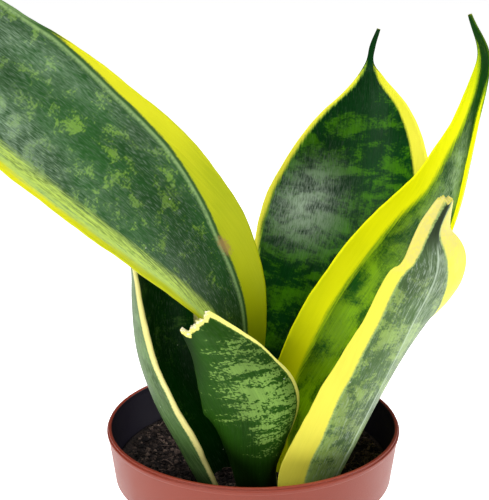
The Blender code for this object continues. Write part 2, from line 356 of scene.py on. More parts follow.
leafBackTall = {
    **leafLook, "node": "leaf_back_tall", "piece": "tallBlade", "finish": "mottledGreenTall", "seed": 11.7,
    "dark": (2, 46, 8), "pale": (48, 98, 2), "band": (240, 232, 74), "deepBand": (206, 206, 40),
    "strip": (76, 110, 30), "wash": (100, 140, 40), "hazeColor": (192, 210, 190), "patchAcross": 12.0,
    "patchAlong": 6.0, "mottle": 0.5, "speckle": 0.7, "nearSoft": 1.2, "farSoft": 1.2, "stripWidth": 1.0,
    "washWidth": 1.5, "midrib": 0.5, "bloom": 0.05, "shine": 0.07, "waxAndSheenSpot": (-0.6, 0.34),
    "stations": [
        (6, -8, 56, 7, 265, 45, 45, 0.9, 5, 0.35, 0, 0.5),
        (6, -8, 70, 9, 265, 45, 45, 0.9, 6, 0.35, 0, 0.5),
        (11, -2, 100, 19, 262, 48, 58, 0.9, 7.6, 0.35, 0, 0.4),
        (23, 4, 122, 27.4, 258, 42, 62, 0.9, 8, 0.4, 0, 0.3),
        (31.2, 10, 142, 33.3, 255, 32, 58, 0.6, 8, 0.45, 0.04, 0.2),
        (37.1, 17, 162, 33.6, 253, 27, 54, 0.5, 7.8, 0.45, 0.6, 0.1),
        (40.4, 24, 181, 27.4, 253, 26, 52, 0.5, 6.2, 0.45, 0.04, 0.1),
        (42, 30, 198, 16, 255, 25, 42, 0.5, 3.2, 0.2, 0, 0.3),
        (42, 33, 208, 6, 260, 25, 25, 0.4, 1.2, -0.15, 0, 0.6),
        (42, 35, 214, 1.6, 265, 25, 25, -1.5, -1.5, -0.15, 0, 1),
        (43, 36, 220, 1.1, 265, 30, 30, -3, -3, -0.2, 0, 1),
        (45, 36, 226, 0.6, 265, 30, 30, -3, -3, -0.2, 0, 1),
    ],
}

leafRightArching = {
    **leafLook, "node": "leaf_right_arching", "piece": "archingBlade", "finish": "limeGreenArching",
    "seed": 23.4, "dark": (12, 66, 0), "pale": (102, 142, 0), "band": (236, 236, 4),
    "deepBand": (196, 206, 0), "strip": (116, 150, 10), "wash": (140, 172, 14),
    "hazeColor": (166, 192, 146), "patchAcross": 8.0, "patchAlong": 12.0, "mottle": 0.5, "crisp": 0.16,
    "speckle": 0.6, "nearSoft": 1.3, "farSoft": 0.7, "stripWidth": 1.2, "washWidth": 2.0, "bloom": 0.05,
    "shine": 0.06, "waxAndSheenSpot": (0.2, 0.42),
    "stations": [
        (15, -18, 56, 7, 212, 45, 45, 5, 0.8, 0.75, 0, 0.8),
        (15, -18, 70, 8, 212, 45, 45, 6, 0.8, 0.8, 0, 0.8),
        (18, -14, 100, 15.2, 220, 45, 50, 7.4, 0.9, 0.8, 0, 0.6),
        (29, -12, 119, 19.5, 226, 45, 50, 7.8, 0.8, 0.75, 0, 0.3),
        (42, -9, 141, 19.2, 230, 42, 55, 7, 0.8, 0.5, 0, 0.1),
        (55, -8, 160, 17.2, 230, 40, 65, 6, 0.9, 0.35, 0.2, 0),
        (64.1, -7, 175, 13, 228, 42, 75, 5.2, 1, 0.35, 0.6, 0),
        (68.5, -6, 189, 9, 226, 48, 70, 4.2, 0.7, 0.4, 0.6, 0),
        (71.5, -6, 201, 5.5, 225, 50, 58, 3, 0.3, 0.2, 0.1, 0.1),
        (74, -6, 212, 4, 225, 50, 50, 1.6, -1, -0.1, 0, 0.6),
        (75, -7, 221, 2.8, 225, 50, 50, -1, -3, -0.2, 0, 1),
        (69, -8, 235, 0.6, 225, 50, 50, -3, -3, -0.2, 0, 1),
    ],
}

leafFrontCut = {
    **leafLook, "node": "leaf_front_cut", "piece": "cutBlade", "finish": "bandedGreenCut", "seed": 37.9,
    "end": "cut", "farShade": 0.75, "dark": (30, 68, 6), "pale": (110, 144, 64), "band": (240, 236, 130),
    "deepBand": (214, 208, 84), "strip": (50, 86, 26), "wash": (60, 96, 30), "dry": (236, 230, 206),
    "hazeColor": (120, 150, 100), "patchAcross": 9.0, "patchAlong": 2.6, "slant": 0.1, "mottle": 0.52,
    "crisp": 0.05, "speckle": 1.5, "nearSoft": 0.3, "farSoft": 0.4, "stripWidth": 0.6, "washWidth": 0.5,
    "endBand": 1.5, "dryLength": 0.4, "bloom": 0.02, "gloss": 0.48, "shine": 0.05, "waxAndSheenSpot": (0.0, 0.6),
    "level": 1.0, "back": 0.0,
    # the low paleness near the foot and the far shade paint shade on this leaf
    "stations": [
        (3, -31, 56, 5.5, 98, 65, 65, 0.9, -1, -0.75, 0, 0.6),
        (3, -31, 70, 7.5, 98, 65, 65, 0.9, -1, -0.65, 0, 0.6),
        (1, -36, 88, 10.2, 98, 65, 65, 1, -1, -0.3, 0, 0.5),
        (1, -37, 96, 13, 98, 56, 62, 1, -1, 0.22, 0, 0.4),
        (0, -39, 110, 18, 98, 42, 55, 1.1, -1, 0.62, 0.05, 0.2),
        (-5, -41, 122, 15, 98, 45, 48, 1.2, -1, 0.62, 0.1, 0.1),
        (-11, -43, 133, 10.5, 96, 45, 45, 1.3, -1, 0.42, 0.1, 0),
        (-18.4, -44, 143, 6, 94, 35, 45, 1.3, -1, 0.1, 0.1, 0),
    ],
}

leafRightOuter = {
    **leafLook, "node": "leaf_right_outer", "piece": "outerBlade", "finish": "greyGreenOuter",
    "seed": 51.2, "end": "scar", "dark": (66, 94, 46), "pale": (122, 148, 70), "band": (230, 220, 74),
    "deepBand": (200, 194, 62), "strip": (140, 166, 96), "wash": (150, 174, 110), "dry": (204, 194, 116),
    "hazeColor": (188, 206, 180), "patchAcross": 6.0, "patchAlong": 8.0, "mottle": 0.52, "speckle": 1.0,
    "nearSoft": 0.6, "farSoft": 0.6, "stripWidth": 0.8, "washWidth": 0.5, "dryLength": 1.0, "bleach": 30.0,
    "bloom": 0.5, "gloss": 0.4, "shine": 0.15, "waxAndSheenSpot": (-0.2, 0.5), "back": 0.0, "keel": 0.5,
    "keelTone": 0.8,
    "stations": [
        (21, -26, 56, 13, 143, 72, 60, 4, 6.5, 1.2, 0, 0.7),
        (22, -27, 66, 15, 143, 75, 60, 4, 7.5, 1.2, 0.05, 0.35),
        (26.5, -29, 83, 20.4, 140, 75, 62, 3, 7.8, 1.05, 0.12, 0),
        (31.8, -30, 96, 20.3, 140, 72, 61, 2, 7, 0.75, 0.18, 0),
        (39, -32, 114, 19.5, 138, 65, 56, 1.4, 5.6, 0.5, 0.2, 0),
        (49.2, -36, 140, 15.8, 130, 30, 42, 2, 3.6, 0.42, 0.25, 0),
        (56.6, -38, 160, 13.4, 118, 14, 26, 8.4, 3.2, 0.3, 0.35, 0),
        (55.8, -40, 172, 6.6, 118, 15, 25, 4.8, 3, -0.6, 0, 0),
        (58.9, -41, 182.5, 3, 118, 20, 30, 0.6, 1.2, -0.9, 0, 0),
    ],
}

leafLeftOuter = {
    **leafLook, "node": "leaf_left_outer", "piece": "channelBlade", "finish": "shadedGreenChannel",
    "seed": 67.5, "dark": (2, 58, 4), "pale": (60, 104, 30), "band": (224, 216, 140),
    "deepBand": (206, 196, 110), "strip": (104, 132, 76), "wash": (112, 138, 80),
    "hazeColor": (180, 198, 166), "patchAcross": 7.0, "patchAlong": 9.0, "mottle": 0.6, "speckle": 0.8,
    "nearSoft": 0.5, "farSoft": 0.5, "stripWidth": 0.5, "washWidth": 0.4, "bloom": 0.12, "shine": 0.08,
    "waxAndSheenSpot": (-0.8, 0.4), "back": 0.32,
    "stations": [
        (-13, -18, 56, 10, 338, 85, 55, 0.9, 1, -0.2, 0, 0.4),
        (-15, -18, 70, 13, 338, 92, 55, 1, 1, -0.1, 0, 0.3),
        (-23.4, -18, 91, 18.8, 338, 95, 60, 1, 0.8, 0.15, 0.02, 0.2),
        (-31.8, -17, 109, 20.4, 338, 84, 84, 1.1, 0.7, 0.35, 0.1, 0),
        (-36.5, -16, 127, 21.2, 334, 77, 97, 1.1, 0.6, 0.45, 0.25, 0),
        (-36.9, -15, 143, 21.2, 332, 62, 100, 1.1, 0.6, 0.45, 0.35, 0.1),
        (-36.8, -14, 155, 18.6, 334, 45, 92, 1, 0.6, 0.4, 0.25, 0.1),
        (-41, -13, 167, 9, 338, 45, 35, 0.8, 0.6, 0.3, 0.1, 0.1),
        (-44, -12, 177, 2, 340, 40, 30, 0.3, 0.3, 0.1, 0, 0),
    ],
}


def tint(colour):
    # a screen colour, 0 to 255, as the shader wants it
    return tuple((c / 255 / 12.92) if c < 11 else ((c / 255 + 0.055) / 1.055) ** 2.4 for c in colour) + (1.0,)


def smoothPath(knots, rows, at):
    spans = np.diff(knots)[:, None]
    steps = np.diff(rows, axis=0) / spans
    slopes = np.empty_like(rows)
    slopes[0], slopes[-1] = steps[0], steps[-1]
    slopes[1:-1] = (steps[:-1] * spans[1:] + steps[1:] * spans[:-1]) / (spans[:-1] + spans[1:])
    span = np.clip(np.searchsorted(knots, at, side="right") - 1, 0, len(knots) - 2)
    t = ((at - knots[span]) / spans[span, 0])[:, None]
    rise = spans[span] * (t * (1 - t) ** 2 * slopes[span] + t * t * (t - 1) * slopes[span + 1])
    return (1 + 2 * t) * (1 - t) ** 2 * rows[span] + t * t * (3 - 2 * t) * rows[span + 1] + rise


def wander(at, seed, waves):
    # a sum of sines: (length of one wave in mm, height) pairs
    total = 0
    for i, (length, height) in enumerate(waves):
        total = total + height * np.sin(2 * math.pi * at / length + seed * (i + 1.3))
    return total


def endTrim(leaf, s):
    # how far short of the last ring the blade stops, in mm, so that a broken end is ragged
    if leaf["end"] == "cut":
        notch = 2.2 * np.exp(-((s - 0.62) / 0.16) ** 2) - 1.0 * np.exp(-((s - 0.95) / 0.08) ** 2)
        return notch + 0.5 * np.sin(9 * s) + 0.3 * np.sin(23 * s + 1) + 0.15 * np.sin(57 * s)
    if leaf["end"] == "scar":
        return 0.5 * np.sin(6 * s + 1) + 0.25 * np.sin(19 * s)
    return 0 * s


def buildBlade(leaf, blade):
    rows = np.array(leaf["stations"], float)
    knots = np.concatenate([[0.0], np.cumsum(np.linalg.norm(np.diff(rows[:, :3], axis=0), axis=1))])
    length = knots[-1]
    at = np.linspace(0.0, length, blade["rings"])
    midrib = smoothPath(knots, rows[:, :3], at)
    shape = smoothPath(knots, rows[:, 3:], at)
    halfWidth = np.maximum(shape[:, 0], blade["awn"] / 2)
    facing, nearCurl, farCurl = np.radians(shape[:, 1:4]).T
    nearBand, farBand, palenessAndShade, waxAndSheen, deepnessAndShade = shape[:, 4:9].T
    along = np.gradient(midrib, axis=0)
    along /= np.linalg.norm(along, axis=1)[:, None]
    level = np.stack([np.cos(facing), np.sin(facing), 0 * facing], axis=1)
    out = level - np.sum(level * along, axis=1)[:, None] * along
    out /= np.linalg.norm(out, axis=1)[:, None]
    across = np.cross(along, out)

    middle = np.minimum(blade["thickness"], np.maximum(blade["awn"], blade["slender"] * halfWidth))
    margin = np.minimum(blade["margin"], blade["slender"] * middle)
    arc = np.linspace(-90, 90, blade["edgePoints"] + 2)[1:-1]
    s = np.sin(np.linspace(-math.pi / 2, math.pi / 2, blade["points"]))
    seed = leaf["seed"]
    ripple = np.minimum(blade["ripple"], blade["rippleShare"] * halfWidth)
    trimLength = blade["trimLength"]

    def surface(s, side):
        # side runs from 1 on the upper face, round the margin, to -1 on the lower face
        s = s[None, :]
        side = side[None, :]
        curl = np.where(s < 0, nearCurl[:, None], farCurl[:, None])
        edge = np.abs(s) ** 6
        wave = wander(at, seed, blade["nearWaves"])[:, None] * ripple[:, None]
        waveFar = wander(at, seed + 9, blade["farWaves"])[:, None] * ripple[:, None]
        reach = (halfWidth - margin / 2)[:, None] + edge * np.where(s < 0, wave, waveFar)
        radius = reach / curl
        turn = s * curl
        lift = radius * (1 - np.cos(turn)) + edge * np.where(s < 0, waveFar, wave)
        place = midrib[:, None, :] + (radius * np.sin(turn))[..., None] * across[:, None, :]
        place = place + lift[..., None] * out[:, None, :]
        normal = np.cos(turn)[..., None] * out[:, None, :] - np.sin(turn)[..., None] * across[:, None, :]
        tangent = np.sin(turn)[..., None] * out[:, None, :] + np.cos(turn)[..., None] * across[:, None, :]
        half = (margin[:, None] + (middle - margin)[:, None] * (1 - s * s)) / 2
        bending = 2 * np.sin(3 * s + seed)
        vein = blade["veins"] * np.sin(s * blade["veinCount"] + bending) * (1 - s ** 4) * np.abs(side)
        vein = vein * np.clip(halfWidth / blade["veinFull"], 0, 1)[:, None]
        vein = vein + leaf["keel"] * np.exp(-(s * reach / blade["keelWidth"]) ** 2) * (side < 0)
        outward = np.sqrt(np.clip(1 - side * side, 0, 1)) * half * np.sign(s)
        point = place + ((half + vein) * side)[..., None] * normal + outward[..., None] * tangent
        trim = endTrim(leaf, np.broadcast_to(s, reach.shape))
        nearEnd = np.clip((at[:, None] - length + trimLength) / trimLength, 0, 1) ** 2
        point = point - (trim * nearEnd)[..., None] * along[:, None, :]
        fromNear = (1 + s) * reach
        fromFar = (1 - s) * reach
        upward = at[:, None] + leaf["level"] * (point[..., 2] - at[:, None])
        # painted sheen: a lighter band across the leaf where a gloss would fall, partly real wax
        glint = np.exp(-((s - leaf["waxAndSheenSpot"][0]) / leaf["waxAndSheenSpot"][1]) ** 2)
        glint = glint + leaf["hazeFar"] * np.exp(-((s - 0.6) / 0.25) ** 2)
        # painted shade: the face darkens towards the far margin
        shadow = leaf["farShade"] * np.clip(s + 0.1, 0, 1)
        flat = 0 * reach
        bands = [nearBand[:, None] - fromNear, farBand[:, None] - fromFar, palenessAndShade[:, None] - shadow + flat]
        tones = [(length - at)[:, None] + flat, waxAndSheen[:, None] * glint, deepnessAndShade[:, None] + flat]
        data = {
            "leafPlace": np.stack([s * reach, upward, side + flat], -1),
            "leafBands": np.stack(bands, -1),
            "leafTone": np.stack(tones, -1),
        }
        return point, data

    sides = [
        (s, np.ones_like(s)), (np.ones(len(arc)), np.sin(np.radians(arc[::-1]))),
        (s[::-1], -np.ones_like(s)), (-np.ones(len(arc)), np.sin(np.radians(arc)))]
    loop = [surface(places, side) for places, side in sides]
    points = np.concatenate([point for point, _ in loop], axis=1)
    ringCount, size = points.shape[:2]
    count = len(s)
    faces = []
    for i in range(ringCount - 1):
        low, high = i * size, (i + 1) * size
        for j in range(size):
            k = (j + 1) % size
            faces.append((low + j, low + k, high + k, high + j))
    last = (ringCount - 1) * size
    under = count + len(arc)
    for j in range(count - 1):
        a, b, c, d = j, j + 1, under + count - 2 - j, under + count - 1 - j
        faces.append((d, c, b, a))
        faces.append((last + a, last + b, last + c, last + d))
    farCap = [count - 1] + list(range(count, under + 1))
    nearCap = [under + count - 1] + list(range(under + count, size)) + [0]
    for base, turned in ((0, True), (last, False)):
        for cap in (farCap, nearCap):
            corner = [base + j for j in cap]
            faces.append(tuple(corner[::-1]) if turned else tuple(corner))
    mesh = bpy.data.meshes.new(leaf["node"])
    mesh.from_pydata((points * mm).reshape(-1, 3).tolist(), [], faces)
    for name in ("leafPlace", "leafBands", "leafTone"):
        values = np.concatenate([data[name] for _, data in loop], axis=1)
        attribute = mesh.attributes.new(name, "FLOAT_VECTOR", "POINT")
        attribute.data.foreach_set("vector", np.ascontiguousarray(values, dtype=np.float32).ravel())
    mesh.shade_smooth()
    return mesh


# the sockets of a leaf's skin; a number or colour is the leaf's own value of the same name
leafVectors = {"Place": "leafPlace", "Bands": "leafBands", "Tone": "leafTone"}
leafNumbers = (
    "Seed", "Patch Across", "Patch Along", "Mottle", "Crisp", "Speckle", "Near Soft", "Far Soft",
    "Strip Width", "Crease", "Wash Width", "End Band", "Dry Length", "Bleach", "Gloss", "Midrib", "Bloom",
    "Slant", "Back", "Keel Tone", "Scar Across", "Scar Along", "Scar Size")
leafColours = ("Dark", "Pale", "Band", "Deep Band", "Strip", "Wash", "Haze Color", "Dry")

# repeats per mm across and along the leaf, detail and roughness
leafNoise = {
    "fine": (1.1, 1.5, 3.0, 0.6), "fibre": (2.2, 0.07, 3.0, 0.65),
    "scratch": (3.4, 0.42, 2.0, 0.6), "broad": (0.05, 0.028, 2.0, 0.5),
}
bloomColour = (0.36, 0.44, 0.36, 1.0)
dustColour = (0.75, 0.8, 0.7, 1.0)


def makeVariegation():
    # green face with crosswise mottling, yellow margins, a pale strip beside them, painted sheen and shade,
    # and dry ends
    inputs = [(name, "NodeSocketVector", None) for name in leafVectors]
    inputs += [(name, "NodeSocketFloat", 1.0) for name in leafNumbers]
    inputs += [(name, "NodeSocketColor", (0.1, 0.1, 0.1, 1.0)) for name in leafColours]
    tree, given, result = newGroup(
        "variegation", "ShaderNodeTree", inputs,
        [("Color", "NodeSocketColor"), ("Roughness", "NodeSocketFloat"), ("Height", "NodeSocketFloat")])
    across, along, side = split(given["Place"])
    near, far, palenessAndShade = split(given["Bands"])
    end, waxAndSheen, deepnessAndShade = split(given["Tone"])
    depth = timesPlus(side, 1.7, given["Seed"])

    def spot(x, y):
        return put(tree, "ShaderNodeCombineXYZ", {0: x, 1: y, 2: depth}).outputs[0]

    def layer(name):
        perAcross, perAlong, detail, roughness = leafNoise[name]
        return noise(spot(times(across, perAcross), times(along, perAlong)), 1.0, detail, roughness)

    slanted = timesPlus(across, given["Slant"], along)
    patches = spot(over(across, given["Patch Across"]), over(slanted, given["Patch Along"]))
    coarse = noise(patches, 1.0, 4.0, 0.58, 0.5)
    fine, fibre, scratch, broad = [layer(name) for name in ("fine", "fibre", "scratch", "broad")]

    # the mottle of the green face
    grainy = sway(fine, times(given["Speckle"], 0.5))
    leaning = sway(palenessAndShade, 0.34)
    level = plus(plus(coarse, grainy), plus(sway(fibre, 0.12), leaning))
    low = minus(given["Mottle"], given["Crisp"])
    high = plus(given["Mottle"], given["Crisp"])
    face = blend(fade(level, low, high), given["Dark"], given["Pale"])
    shade = times(fade(fibre, 0.25, 0.75, 0.84, 1.18), fade(broad, 0.32, 0.68, 0.7, 1.2))
    # painted shade: the face darkens where the paleness column runs low
    shade = times(shade, fade(palenessAndShade, -0.7, 0.1, 0.25, 1.0))
    face = scaled(face, shade)
    # painted shade: a darker line down the midrib's channel
    fromRib = calc("ABSOLUTE", timesPlus(coarse, 1.6, minus(across, 0.8)))
    rib = fade(fromRib, 0.25, 0.9, 1.0, 0.0)
    face = blend(times(rib, given["Midrib"]), face, given["Dark"])

    # the waxy bloom, the painted sheen over it that is partly real wax, the paler back, and the keel
    calm = fade(palenessAndShade, -0.45, 0.0)
    bloom = times(fade(scratch, 0.5, 0.75), fade(broad, 0.35, 0.65, 1.0, 0.35))
    face = blend(times(bloom, times(given["Bloom"], calm)), face, bloomColour)
    # painted sheen, partly real wax, blended in where the sheen column and its spot say
    waxAndSheenMask = times(waxAndSheen, fade(plus(scratch, times(coarse, 0.9)), 0.62, 1.2, 0.05, 1.0))
    face = blend(waxAndSheenMask, face, given["Haze Color"])
    behind = times(fade(side, 0.3, -0.3), times(given["Back"], fade(fibre, 0.3, 0.7, 0.5, 1.5)))
    face = blend(behind, face, given["Wash"])
    fromKeel = calc("ABSOLUTE", timesPlus(broad, 0.6, minus(across, 0.3)))
    ridge = fade(fromKeel, 0.1, 0.5, 0.75, 0.0)
    beside = fade(calc("ABSOLUTE", across), 1.0, 6.0, 1.0, 0.0)
    streaks = times(beside, fade(fibre, 0.56, 0.66, 0.0, 0.6))
    keel = times(larger(ridge, streaks), times(given["Keel Tone"], calm))
    face = blend(keel, face, given["Haze Color"])

    # how deep a point lies in each yellow margin, in mm, with a wandering boundary
    swing = timesPlus(minus(broad, 0.5), 3.4, sway(fine, 0.7))
    nearDepth = plus(near, times(swing, fade(near, -6.0, 1.0)))
    farDepth = plus(far, times(swing, fade(far, -6.0, 1.0)))

    def bandOf(edgeDepth, soft, inner):
        ragged = timesPlus(minus(fibre, 0.5), times(soft, 1.4), edgeDepth)
        return fade(ragged, times(soft, -1.0), times(soft, inner))

    nearMask = bandOf(nearDepth, given["Near Soft"], 0.25)
    farMask = bandOf(farDepth, given["Far Soft"], 0.35)
    endMask = fade(
        plus(end, sway(fine, 1.4)), minus(given["End Band"], 0.35), plus(given["End Band"], 0.2), 1.0, 0.0)
    bandMask = larger(larger(nearMask, farMask), endMask)

    # the pale strip beside the margins, partly a painted highlight along the bend, the wash beside them, and
    # a painted shadow in the fold of the far one
    nearest = larger(nearDepth, farDepth)
    # partly a painted highlight: the pale strip along the bend beside the margin
    strip = fade(nearest, times(given["Strip Width"], -1.25), times(given["Strip Width"], -0.7))
    strip = times(strip, fade(fine, 0.25, 0.6, 0.45, 0.9))
    face = blend(strip, face, given["Strip"])
    washEdge = timesPlus(minus(fibre, 0.5), 3.0, nearDepth)
    wash = fade(washEdge, times(given["Wash Width"], -1.1), times(given["Wash Width"], -0.6))
    wash = times(wash, fade(plus(fibre, times(scratch, 0.7)), 0.6, 1.05, 0.25, 1.0))
    face = blend(wash, face, given["Wash"])
    # painted shadow: a dark line in the fold beside the far margin
    foldShadow = times(fade(farDepth, -1.7, -0.9), fade(farDepth, -0.1, 0.4, 1.0, 0.0))
    face = blend(times(foldShadow, given["Crease"]), face, given["Dark"])

    # the yellow, deeper in places, and towards the foot by a column that is partly painted shade, and
    # bleached towards a broken end
    deep = times(fade(broad, 0.3, 0.75), fade(fibre, 0.3, 0.7, 0.5, 1.0))
    # the deepness column is partly painted shade towards the foot
    deep = plus(times(deep, 0.6), deepnessAndShade, clamp=True)
    yellow = blend(deep, given["Band"], given["Deep Band"])
    reach = larger(given["Bleach"], 0.01)
    fromEnd = timesPlus(minus(coarse, 0.5), given["Bleach"], end)
    bleach = fade(fromEnd, times(given["Bleach"], 0.25), reach, 0.85, 0.0)
    yellow = blend(times(bleach, fade(fine, 0.3, 0.6, 0.45, 1.0)), yellow, given["Dry"])
    color = blend(bandMask, face, yellow)

    # dry ends, a scar, and a few pale specks of dust
    dryReach = plus(end, sway(fine, 2.0))
    dry = fade(dryReach, times(given["Dry Length"], 0.5), given["Dry Length"], 1.0, 0.0)
    color = blend(dry, color, blend(fade(fine, 0.4, 0.6), given["Dry"], given["Deep Band"]))
    wide = minus(across, given["Scar Across"])
    tall = times(minus(along, given["Scar Along"]), 0.5)
    away = calc("SQRT", timesPlus(wide, wide, times(tall, tall)))
    away = timesPlus(minus(fine, 0.5), 4.0, away)
    scar = fade(minus(away, given["Scar Size"]), -1.4, 0.2, 0.75, 0.0)
    color = blend(times(scar, fade(given["Scar Size"], 0.0, 0.5)), color, given["Dry"])
    cells = put(tree, "ShaderNodeTexVoronoi", {"Vector": spot(across, along), "Scale": 0.16})
    pick = put(tree, "ShaderNodeSeparateColor", {0: cells.outputs["Color"]}).outputs[0]
    dust = times(fade(cells.outputs["Distance"], 0.022, 0.034, 1.0, 0.0), fade(pick, 0.72, 0.73))
    color = blend(times(dust, 0.7), color, dustColour)
    tree.links.new(color, result["Color"])

    rough = plus(given["Gloss"], sway(fine, 0.22))
    rough = plus(rough, sway(fibre, 0.16))
    rough = timesPlus(waxAndSheen, 0.08, rough)
    tree.links.new(plus(rough, times(dry, 0.4), clamp=True), result["Roughness"])
    height = timesPlus(fine, 0.35, times(fibre, 0.8))
    tree.links.new(plus(height, times(coarse, 0.5)), result["Height"])
    return tree


variegation = makeVariegation()


def keyOf(label):
    return label[0].lower() + label[1:].replace(" ", "")


def makeLeafMaterial(leaf):
    material, tree, shader = newMaterial(leaf["finish"], leaf["gloss"], leaf["shine"])
    feeds = {label: leaf[keyOf(label)] for label in leafNumbers}
    feeds.update({label: tint(leaf[keyOf(label)]) for label in leafColours})
    for label, attribute in leafVectors.items():
        feeds[label] = put(tree, "ShaderNodeAttribute", attribute_name=attribute).outputs["Vector"]
    skin = put(tree, "ShaderNodeGroup", feeds, node_tree=variegation).outputs
    tree.links.new(skin["Color"], shader.inputs["Base Color"])
    tree.links.new(skin["Roughness"], shader.inputs["Roughness"])
    raiseBumps(shader, skin["Height"], 0.35, 0.00025)
    return material


def buildLeaf(leaf):
    mesh = buildBlade(leaf, leafBlade)
    mesh.materials.append(makeLeafMaterial(leaf))
    piece = addObject(leaf["piece"], mesh)
    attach(piece, "root")
    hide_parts(leaf["node"])
    return piece


for leaf in (leafLeftBroad, leafBackTall, leafRightArching, leafFrontCut, leafRightOuter, leafLeftOuter):
    blade = buildLeaf(leaf)
    print("leaf:", blade.name, len(blade.data.polygons), "faces")


# potting mix: a lumpy plug in the pot, with crumbs and fibres strewn over its top
mix = {
    "top": 75.2, "crown": 1.2, "topRadius": 48.6, "waist": 64.0, "waistRadius": 44.1,
    "foot": 2.4, "footRadius": 34.2, "rings": 70, "turns": 150,
    "lump": 2.6, "lumpSize": 7.0, "crumbReach": 46.8, "crumbSize": (0.35, 1.1), "clodSize": (0.9, 1.8),
    "crumbs": 0.62, "clods": 0.05, "fibres": 0.12, "seed": 7,
    "dark": (12, 10, 11), "brown": (58, 46, 41), "light": (112, 94, 84),
}


def mixSurface(p):
    # half a section, from the middle of the top, over the edge, down and under, turned about Z
    under = [p["waistRadius"], p["footRadius"], 0.0]
    radii = np.concatenate([np.linspace(0, p["topRadius"], p["rings"]), under])
    heights = p["top"] + p["crown"] * (1 - (radii / p["topRadius"]) ** 2)
    heights[-3:] = p["waist"], p["foot"], p["foot"]
    points = [(0.0, 0.0, heights[0])]
    turn = np.linspace(0, 2 * math.pi, p["turns"], endpoint=False)
    for r, z in zip(radii[1:-1], heights[1:-1]):
        points += [(r * math.cos(a), r * math.sin(a), z) for a in turn]
    points.append((0.0, 0.0, heights[-1]))
    count = p["turns"]
    rows = len(radii) - 2
    faces = [(0, 1 + j, 1 + (j + 1) % count) for j in range(count)]
    for i in range(rows - 1):
        low, high = 1 + i * count, 1 + (i + 1) * count
        faces += [(low + j, high + j, high + (j + 1) % count, low + (j + 1) % count) for j in range(count)]
    last = 1 + (rows - 1) * count
    faces += [(len(points) - 1, last + (j + 1) % count, last + j) for j in range(count)]
    mesh = bpy.data.meshes.new("pottingMix")
    mesh.from_pydata([(x * mm, y * mm, z * mm) for x, y, z in points], [], faces)
    return mesh


